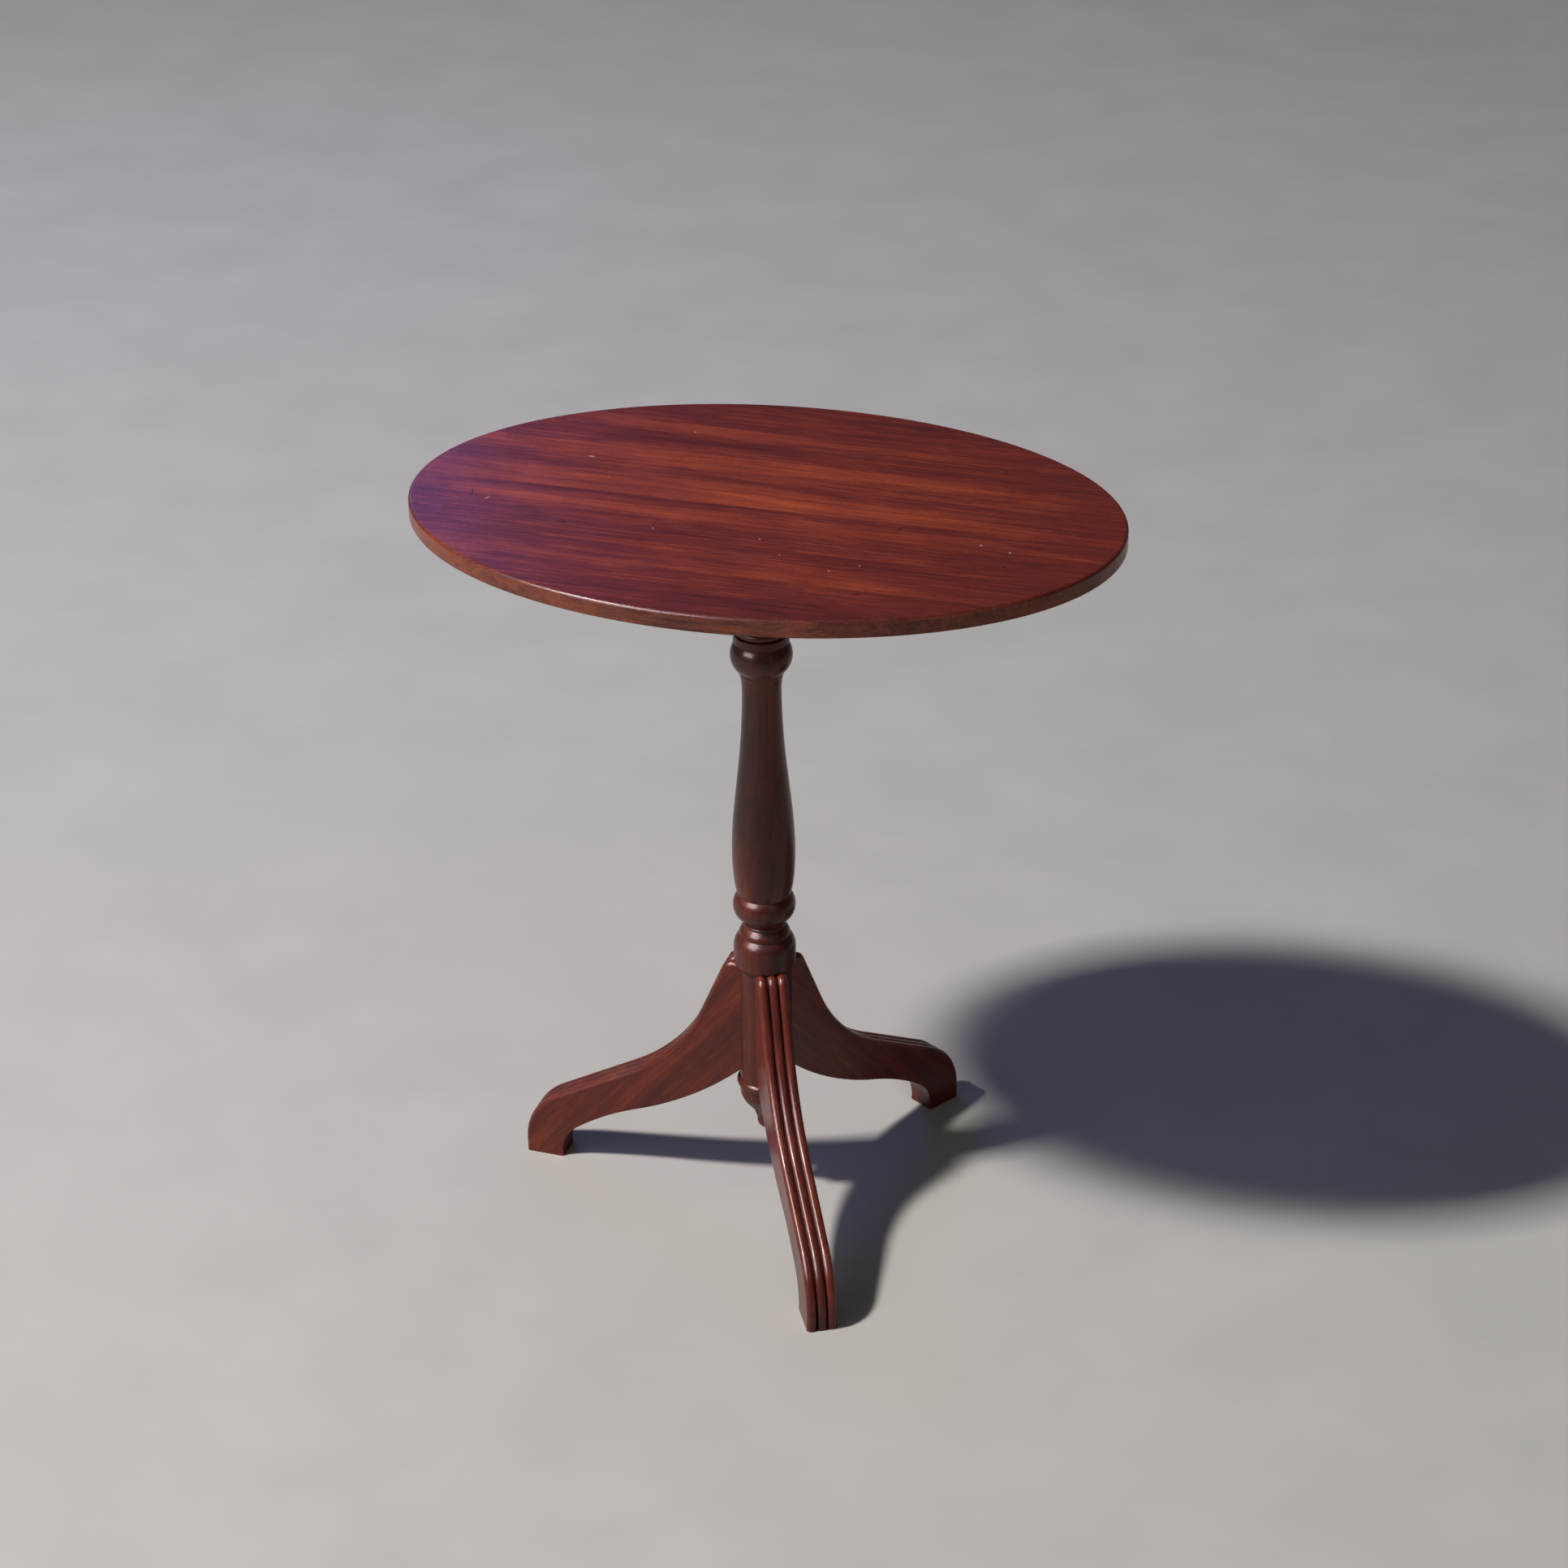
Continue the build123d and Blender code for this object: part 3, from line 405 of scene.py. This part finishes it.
def mahogany(name, turn, values, polished=True, shade=1.0, figure=0.5):
    """Stained mahogany with streaks, fibres, open pores, rubbed edges and painted shade in the
    grooves.

    Shade darkens the stain, and figure is how broad the stripes are against fine streaks. On the
    pillar the low shade is painted shade.
    """
    wood = Recipe(name)
    grain = wood.turned(wood.coordinates, turn)
    wander = wood.noise(wood.stretched(grain, *TURNED_GRAIN["wander"]), detail=1.0)
    drift = wood.sum("MULTIPLY", wood.sum("SUBTRACT", wander, 0.5), TURNED_WANDER)
    shift = wood.put("ShaderNodeCombineXYZ", {1: drift, 2: drift}).outputs[0]
    grain = wood.vector("ADD", grain, shift)

    stripe = wood.noise(wood.stretched(grain, *TURNED_GRAIN["stripe"]), detail=3.0)
    streak = wood.noise(wood.stretched(grain, *TURNED_GRAIN["streak"]), detail=2.0, roughness=0.6)
    fibre = wood.noise(wood.stretched(grain, *TURNED_GRAIN["fibre"]), detail=1.0)
    mottle = wood.noise(wood.stretched(grain, *TURNED_GRAIN["mottle"]), detail=2.0)
    tone = wood.sum("MULTIPLY", stripe, figure)
    for part, share in ((streak, 0.62 - figure * 0.5), (fibre, 0.20), (mottle, 0.18)):
        tone = wood.sum("ADD", tone, wood.sum("MULTIPLY", part, share))
    middle = 0.5 + figure * 0.25
    tone = wood.ranged(tone, middle - 0.18, middle + 0.20)
    pores = wood.noise(wood.stretched(grain, *TURNED_GRAIN["pores"]), detail=0.0)
    pores = wood.ranged(pores, 0.60, 0.70)

    deep = [c * shade for c in values.deep]
    body = [c * shade for c in values.body]
    bright = [c * shade for c in values.bright]
    if not polished:
        deep = [c * 0.55 for c in values.raw]
        body = list(values.raw)
        bright = [min(1.0, c * 1.5) for c in values.raw]
    colour = wood.ramp(tone, ((0.0, deep), (0.42, body), (1.0, bright)))
    colour = wood.mixed(wood.sum("MULTIPLY", pores, PORE_SHARE), colour, deep)

    # Painted shade: the ambient-occlusion mask darkens grooves and corners towards a near-black
    # stain.
    grooves = wood.crevices(0.006)
    painted_groove_shade = [c * 0.35 for c in deep]
    colour = wood.mixed(wood.sum("MULTIPLY", grooves, GROOVE_SHADE_SHARE), colour, painted_groove_shade)
    patchy = wood.ranged(wood.noise(wood.coordinates, 55.0, 3.0), 0.42, 0.66)
    rubbed = wood.sum("MULTIPLY", wood.edges(values.edge_width), patchy)
    rubbed = wood.sum("MULTIPLY", rubbed, wood.sum("SUBTRACT", 1.0, grooves, clamp=True))
    colour = wood.mixed(wood.sum("MULTIPLY", rubbed, RUBBED_SHARE), colour, values.rubbed)

    cloud = wood.noise(wood.coordinates, 24.0, 3.0)
    base = values.roughness if polished else BARE_ROUGHNESS
    rough = wood.ranged(cloud, 0.3, 0.7, base, base + 0.07)
    rough = wood.sum("ADD", rough, wood.sum("MULTIPLY", rubbed, 0.12))

    lumps = wood.raised(wood.noise(wood.coordinates, 60.0, 2.0), TURNED_LUMPS)
    lines = wood.raised(fibre, FIBRE_HEIGHT, lumps)
    surface = wood.raised(wood.sum("SUBTRACT", 1.0, pores), values.pore_depth, lines)
    coat = values.coat if polished else 0.0
    return wood.finished(Base_Color=colour, Roughness=rough, Normal=surface, Coat_Weight=coat,
                         Coat_Roughness=0.14, Specular_IOR_Level=0.30,
                         Specular_Tint=SHEEN_TINT)


def boarded_mahogany(name, values):
    """The top's glued boards: ribbon figure, knocks in the polish and an unpolished underside."""
    wood = Recipe(name)
    turn = Matrix.Rotation(math.radians(TOP_GRAIN_TURN), 3, "Z")
    grain = wood.turned(wood.coordinates, turn)
    across = wood.coordinate(grain, "Y")
    boards = wood.sum("GREATER_THAN", across, BOARD_JOINTS[0])
    for joint in BOARD_JOINTS[1:]:
        boards = wood.sum("ADD", boards, wood.sum("GREATER_THAN", across, joint))

    # Each board has its own grain, so the coordinates jump from one board to the next.
    jump = wood.sum("MULTIPLY", boards, BOARD_JUMP)
    lift = wood.sum("MULTIPLY", boards, BOARD_LIFT)
    offset = wood.put("ShaderNodeCombineXYZ", {0: jump, 2: lift}).outputs[0]
    own = wood.vector("ADD", grain, offset)
    wander = wood.noise(wood.stretched(own, *TOP_GRAIN["wander"]), detail=2.0)
    drift = wood.sum("MULTIPLY", wood.sum("SUBTRACT", wander, 0.5), TOP_WANDER)
    shift = wood.put("ShaderNodeCombineXYZ", {1: drift, 2: drift}).outputs[0]
    own = wood.vector("ADD", own, shift)

    # The ribbon figure, with streaks and fibres over it. It is fainter and darker to the right.
    place = wood.ranged(wood.sum("ADD", across, drift), TOP_LOW.y, TOP_HIGH.y)
    stops = [((v - TOP_LOW.y) / (TOP_HIGH.y - TOP_LOW.y), (c, c, c)) for v, c in TOP_FIGURE]
    ribbon = wood.ramp(place, stops)
    stripe = wood.noise(wood.stretched(own, *TOP_GRAIN["stripe"]), detail=3.0)
    streak = wood.noise(wood.stretched(own, *TOP_GRAIN["streak"]), detail=2.0, roughness=0.6)
    hair = wood.noise(wood.stretched(own, *TOP_GRAIN["hair"]), detail=3.0, roughness=0.6)
    hair = wood.ranged(hair, 0.36, 0.64, 0.0, 1.0, smooth=True)
    fibre = wood.noise(wood.stretched(own, *TOP_GRAIN["fibre"]), detail=1.0)
    mottle = wood.noise(wood.stretched(own, *TOP_GRAIN["mottle"]), detail=3.0, roughness=0.6)
    fade = wood.noise(wood.stretched(own, *TOP_GRAIN["fade"]), detail=1.0)
    strength = wood.ranged(fade, 0.35, 0.68, 0.35, 1.0)
    far_end = wood.ranged(wood.coordinate(wood.coordinates, "X"), 0.10, 0.30, 1.0, 0.35, smooth=True)
    strength = wood.sum("MULTIPLY", strength, far_end)
    tone = wood.blended(strength, 0.40, ribbon)
    for part, share in ((stripe, 0.75), (streak, 0.70), (hair, 0.20), (fibre, 0.35), (mottle, 0.30)):
        tone = wood.sum("ADD", tone, wood.sum("MULTIPLY", wood.sum("SUBTRACT", part, 0.5), share))
    end_fall = wood.ranged(wood.coordinate(wood.coordinates, "X"), 0.05, 0.32, 1.0, 0.80)
    tone = wood.sum("MAXIMUM", wood.sum("MULTIPLY", tone, end_fall), 0.0)
    pores = wood.noise(wood.stretched(own, *TOP_GRAIN["pores"]), detail=0.0)
    pores = wood.ranged(pores, 0.60, 0.70)

    deep, body, bright = list(values.deep), list(values.body), list(values.bright)
    colour = wood.ramp(tone, ((0.0, deep), (0.38, body), (0.82, bright), (1.0, HOT_RIBBON)))
    colour = wood.mixed(wood.sum("MULTIPLY", pores, TOP_PORE_SHARE), colour, deep)

    # Glue lines, then knocks and specks.
    for joint in BOARD_JOINTS:
        gap = wood.sum("ABSOLUTE", wood.sum("SUBTRACT", across, joint))
        line = wood.ranged(gap, GLUE_LINE[1], GLUE_LINE[0], 0.0, 0.35)
        colour = wood.mixed(line, colour, deep)
    dark = wood.knocks(DARK_KNOCKS)
    broken = wood.ranged(wood.noise(wood.coordinates, 420.0, 2.0), 0.35, 0.60, 0.25, 0.85)
    colour = wood.mixed(wood.sum("MULTIPLY", dark, broken), colour, KNOCK_COLOUR)
    pale = wood.knocks(PALE_KNOCKS)
    cells = wood.put("ShaderNodeTexVoronoi", {"Vector": wood.coordinates, "Scale": 34.0})
    chance = wood.coordinate(cells.outputs["Color"], "X")
    speck = wood.ranged(cells.outputs["Distance"], 0.030, 0.016)
    speck = wood.sum("MULTIPLY", speck, wood.sum("GREATER_THAN", chance, 0.80))
    specks = wood.sum("MAXIMUM", pale, wood.sum("MULTIPLY", speck, 0.35))
    colour = wood.mixed(wood.sum("MULTIPLY", specks, SPECK_SHARE), colour, SPECK_COLOUR)

    # Painted light: every upright face of the moulded side is mixed towards the rubbed colour, so
    # the side looks lit.
    upright = wood.sum("ABSOLUTE", wood.coordinate(wood.geometry.outputs["Normal"], "Z"))
    side = wood.ranged(upright, 0.55, 0.20, 0.0, 0.65)
    side_painted_light_tone = wood.ramp(tone, ((0.0, deep), (0.5, values.rubbed)))
    colour = wood.mixed(side, colour, side_painted_light_tone)

    # Rubbed edges.
    patchy = wood.ranged(wood.noise(wood.coordinates, 40.0, 3.0), 0.40, 0.64)
    edge = wood.edges(values.edge_width)
    rubbed = wood.sum("MULTIPLY", edge, patchy)
    colour = wood.mixed(wood.sum("MULTIPLY", rubbed, TOP_RUBBED_SHARE), colour, values.rubbed)

    # The underside was planed and stained thinly, and never polished.
    height = wood.coordinate(wood.coordinates, "Z")
    under = wood.ranged(height, TOP_LOW.z + UNDERSIDE_BAND[1], TOP_LOW.z + UNDERSIDE_BAND[0])
    dull = wood.ramp(tone, ((0.0, [c * 0.5 for c in values.raw]), (0.45, list(values.raw)),
                            (1.0, [c * 1.5 for c in values.raw])))
    colour = wood.mixed(under, colour, dull)

    cloud = wood.noise(wood.coordinates, 18.0, 4.0, 0.6)
    rough = wood.ranged(cloud, 0.30, 0.70, values.roughness - 0.02, values.roughness + 0.09)
    rough = wood.blended(under, rough, UNDERSIDE_ROUGHNESS)
    rough = wood.sum("ADD", rough, wood.sum("MULTIPLY", wood.sum("MAXIMUM", dark, rubbed), 0.15))

    lumps = wood.raised(wood.noise(wood.coordinates, 46.0, 2.0), TOP_LUMPS)
    lines = wood.raised(fibre, FIBRE_HEIGHT, lumps)
    marks = wood.raised(wood.sum("SUBTRACT", 1.0, pores), values.pore_depth, lines)
    dents = wood.sum("MAXIMUM", dark, specks)
    surface = wood.raised(wood.sum("SUBTRACT", 1.0, dents), KNOCK_DEPTH, marks)
    return wood.finished(Base_Color=colour, Roughness=rough, Normal=surface,
                         Coat_Weight=values.coat, Coat_Roughness=0.20, Specular_IOR_Level=0.24)


def pin_wood(name, turn):
    """Close-grained hardwood of the pins and wedge."""
    wood = Recipe(name)
    grain = wood.turned(wood.coordinates, turn)
    streak = wood.noise(wood.stretched(grain, *PIN_GRAIN["streak"]), detail=3.0)
    flecks = wood.noise(wood.stretched(grain, *PIN_GRAIN["flecks"]), detail=1.0)
    tone = wood.ranged(wood.sum("ADD", wood.sum("MULTIPLY", streak, 0.7),
                                wood.sum("MULTIPLY", flecks, 0.3)), 0.36, 0.64)
    colour = wood.ramp(tone, ((0.0, PIN_DARK), (1.0, PIN_PALE)))
    # Painted shade: the ambient-occlusion mask darkens the hollows of the pins and wedge.
    pin_crevice_shade = wood.crevices(0.004)
    colour = wood.mixed(wood.sum("MULTIPLY", pin_crevice_shade, CREVICE_SHADE_SHARE), colour, PIN_CREVICE_SHADE)
    surface = wood.raised(flecks, PIN_FLECK_HEIGHT)
    rough = wood.ranged(streak, 0.3, 0.7, 0.48, 0.62)
    return wood.finished(Base_Color=colour, Roughness=rough, Normal=surface)


def aged_metal(name, clean, aged, share, fine=2600.0, base=0.30):
    """Metal with patches of age, brushed lines and brighter edges."""
    metal = Recipe(name)
    patches = metal.ranged(metal.noise(metal.coordinates, 210.0, 4.0, 0.62), 0.40, 0.62)
    held = metal.crevices(0.003)
    age = metal.sum("MAXIMUM", metal.sum("MULTIPLY", patches, share), held)
    worn = metal.edges(0.0006)
    age = metal.sum("MULTIPLY", age, metal.ranged(worn, 0.0, 1.0, 1.0, 0.25))
    colour = metal.mixed(age, clean, aged)
    brushed = metal.noise(metal.stretched(metal.coordinates, 90.0, fine), detail=1.0)
    rough = metal.sum("ADD", metal.ranged(brushed, 0.3, 0.7, base - 0.05, base + 0.07),
                      metal.sum("MULTIPLY", age, 0.28))
    surface = metal.raised(brushed, BRUSHED_HEIGHT)
    return metal.finished(Base_Color=colour, Metallic=1.0, Roughness=rough, Normal=surface)


def dress(node, material):
    """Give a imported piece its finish."""
    mesh = cad_nodes[node].data
    mesh.materials.clear()
    mesh.materials.append(material)


# ---- pieces -------------------------------------------------------------------------------------
class TABLE_OT_top(bpy.types.Operator):
    """Polish the oval top"""

    bl_idname = "tilt_table.top"
    bl_label = "Tabletop"

    def execute(self, context):
        values = context.scene.tilt_table.mahogany
        dress("tabletop", boarded_mahogany("top_mahogany", values))
        return {"FINISHED"}


class TABLE_OT_pillar(bpy.types.Operator):
    """Polish the turned pillar and its drop"""

    bl_idname = "tilt_table.pillar"
    bl_label = "Pillar and drop"

    def execute(self, context):
        values = context.scene.tilt_table.mahogany
        # shade=0.60 is painted shade: the pillar's stain is darkened to stand for the deeper shade
        # under the top.
        finish = mahogany("turned_mahogany", grain_from((0, 0, 1)), values, shade=0.60, figure=0.45)
        for node in ("pillar", "drop_finial"):
            dress(node, finish)
        return {"FINISHED"}


class TABLE_OT_legs(bpy.types.Operator):
    """Polish the three reeded legs, each with the grain running down it"""

    bl_idname = "tilt_table.legs"
    bl_label = "Legs"

    def execute(self, context):
        values = context.scene.tilt_table.mahogany
        for node, angle in LEG_ANGLES.items():
            finish = mahogany(f"{node}_mahogany", leg_grain(angle), values, shade=0.9, figure=0.4)
            dress(node, finish)
        return {"FINISHED"}


class TABLE_OT_block(bpy.types.Operator):
    """Finish the block, the two bearers, the pins and the wedge"""

    bl_idname = "tilt_table.block"
    bl_label = "Block, bearers and pins"

    def execute(self, context):
        values = context.scene.tilt_table.mahogany
        block = mahogany("block_mahogany", grain_from((1, 0, 0)), values, polished=False)
        dress("tilt_block", block)
        bearer = mahogany("bearer_mahogany", grain_from((0, 1, 0)), values, polished=False)
        for node in ("bearer_left", "bearer_right"):
            dress(node, bearer)
        pin = pin_wood("pin_wood", grain_from((1, 0, 0)))
        for node in ("pivot_pin_left", "pivot_pin_right"):
            dress(node, pin)
        dress("tenon_wedge", pin_wood("wedge_wood", grain_from((0, 0, 1))))
        return {"FINISHED"}


class TABLE_OT_catch(bpy.types.Operator):
    """Finish the brass catch, its keeper and their screws"""

    bl_idname = "tilt_table.catch"
    bl_label = "Catch"

    def execute(self, context):
        values = context.scene.tilt_table.metal
        brass = aged_metal("aged_brass", values.brass, values.tarnish, 0.75)
        for node in ("catch_case", "catch_bolt", "catch_knob", "keeper_plate", "catch_screws",
                     "keeper_screws"):
            dress(node, brass)
        return {"FINISHED"}


class TABLE_OT_steel(bpy.types.Operator):
    """Finish the steel screws of the bearers"""

    bl_idname = "tilt_table.steel"
    bl_label = "Bearer screws"

    def execute(self, context):
        values = context.scene.tilt_table.metal
        dress("bearer_screws", aged_metal("aged_steel", values.steel, values.rust, 0.6, base=0.36))
        return {"FINISHED"}


class TABLE_OT_spring(bpy.types.Operator):
    """Wind the catch's spring in place of the imported one"""

    bl_idname = "tilt_table.spring"
    bl_label = "Catch spring"

    def execute(self, context):
        low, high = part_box("catch_spring")
        middle = (low + high) / 2
        length = high.y - low.y
        coil_radius = (high.x - low.x) / 2 - SPRING_WIRE_RADIUS
        start = (middle.x, low.y + SPRING_WIRE_RADIUS, middle.z)
        bpy.ops.object.select_all(action="DESELECT")
        bpy.ops.mesh.primitive_circle_add(vertices=12, radius=SPRING_WIRE_RADIUS, location=start)
        spring = context.active_object
        spring.name = "wound_spring"
        bpy.ops.object.mode_set(mode="EDIT")
        bpy.ops.mesh.select_all(action="SELECT")
        bpy.ops.transform.translate(value=(coil_radius, 0, 0))
        bpy.ops.object.mode_set(mode="OBJECT")
        winding = spring.modifiers.new("winding", "SCREW")
        winding.axis = "Y"
        winding.iterations = SPRING_TURNS
        winding.screw_offset = (length - 2 * SPRING_WIRE_RADIUS) / SPRING_TURNS
        winding.steps = SPRING_STEPS
        winding.render_steps = SPRING_STEPS
        bpy.ops.object.modifier_apply(modifier=winding.name)
        bpy.ops.object.mode_set(mode="EDIT")
        bpy.ops.mesh.select_all(action="SELECT")
        bpy.ops.mesh.fill_holes(sides=0)
        bpy.ops.mesh.select_all(action="SELECT")
        bpy.ops.mesh.normals_make_consistent(inside=False)
        bpy.ops.object.mode_set(mode="OBJECT")
        bpy.ops.object.shade_smooth()
        bpy.ops.object.transform_apply(location=True, rotation=True, scale=True)
        values = context.scene.tilt_table.metal
        finish = aged_metal("spring_steel", values.steel, values.rust, 0.35, base=0.28)
        spring.data.materials.append(finish)
        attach(spring, "top")
        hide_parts("catch_spring")
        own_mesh(spring)
        return {"FINISHED"}


class TABLE_OT_stage(bpy.types.Operator):
    """Set up the floor, the lights and the camera"""

    bl_idname = "tilt_table.stage"
    bl_label = "Stage"

    def light(self, name, place, aim, side, power, colour):
        """Add a square area light at a place, aimed at a point."""
        data = bpy.data.lights.new(name, "AREA")
        data.shape = "SQUARE"
        data.size = side
        data.energy = power
        data.color = colour
        lamp = bpy.data.objects.new(name, data)
        bpy.context.scene.collection.objects.link(lamp)
        lamp.location = place
        lamp.rotation_euler = (Vector(aim) - Vector(place)).to_track_quat("-Z", "Y").to_euler()
        return lamp

    def execute(self, context):
        values = context.scene.tilt_table.stage
        bpy.ops.object.select_all(action="DESELECT")
        bpy.ops.mesh.primitive_plane_add(size=values.floor_side, location=(0, 0, 0))
        floor = context.active_object
        floor.name = "floor"
        ground = Recipe("pale_floor")
        grit = ground.noise(ground.coordinates, 7.0, 3.0)
        tones = [[c * shade for c in values.floor] for shade in (0.96, 1.04)]
        colour = ground.ramp(grit, ((0.3, tones[0]), (0.7, tones[1])))
        floor.data.materials.append(ground.finished(Base_Color=colour, Roughness=0.75))

        middle = (cad_low + cad_high) / 2
        self.light("key", middle + SUN_WAY * SUN_DISTANCE, middle, SUN_SIDE, values.key_power,
                   SUN_COLOUR)
        self.light("sky", SKY_PLACE, SKY_AIM, SKY_SIDE, values.sky_power, SKY_COLOUR)
        self.light("fill", FILL_PLACE, middle, FILL_SIDE, values.fill_power, FILL_COLOUR)
        # A wide panel that only shows as gloss on the rings and reeds.
        panel = self.light("gloss", middle + GLOSS_WAY * GLOSS_DISTANCE, middle, GLOSS_SIDE,
                           values.gloss_power, GLOSS_COLOUR)
        panel.visible_diffuse = False

        world = bpy.data.worlds.new("studio")
        context.scene.world = world
        world.use_nodes = True
        background = world.node_tree.nodes["Background"]
        background.inputs["Color"].default_value = ROOM_COLOUR
        background.inputs["Strength"].default_value = values.room

        data = bpy.data.cameras.new("camera")
        data.lens = values.lens
        data.clip_end = 200.0
        camera = bpy.data.objects.new("camera", data)
        context.scene.collection.objects.link(camera)
        camera.location = values.camera_place
        camera.rotation_euler = values.camera_turn
        context.scene.camera = camera
        context.scene.view_settings.view_transform = "Standard"
        return {"FINISHED"}


class TABLE_PT_panel(bpy.types.Panel):
    """Lists the pieces of the table"""

    bl_idname = "TABLE_PT_panel"
    bl_label = "Tilt-top table"
    bl_space_type = "VIEW_3D"
    bl_region_type = "UI"
    bl_category = "Tilt-top table"

    def draw(self, context):
        values = context.scene.tilt_table
        for group in (values.mahogany, values.metal, values.stage):
            box = self.layout.box()
            for name in group.__annotations__:
                box.prop(group, name)
        for operator in OPERATORS:
            self.layout.operator(operator.bl_idname)


OPERATORS = (TABLE_OT_top, TABLE_OT_pillar, TABLE_OT_legs, TABLE_OT_block, TABLE_OT_catch,
             TABLE_OT_steel, TABLE_OT_spring, TABLE_OT_stage)
GROUPS = (MahoganyValues, MetalValues, StageValues, TableValues)


def register():
    for cls in (*GROUPS, *OPERATORS, TABLE_PT_panel):
        bpy.utils.register_class(cls)
    bpy.types.Scene.tilt_table = PointerProperty(type=TableValues)


def unregister():
    del bpy.types.Scene.tilt_table
    for cls in reversed((*GROUPS, *OPERATORS, TABLE_PT_panel)):
        bpy.utils.unregister_class(cls)


def main():
    register()
    bpy.ops.tilt_table.top()
    bpy.ops.tilt_table.pillar()
    bpy.ops.tilt_table.legs()
    bpy.ops.tilt_table.block()
    bpy.ops.tilt_table.catch()
    bpy.ops.tilt_table.steel()
    bpy.ops.tilt_table.spring()
    bpy.ops.tilt_table.stage()


if __name__ == "__main__":
    main()
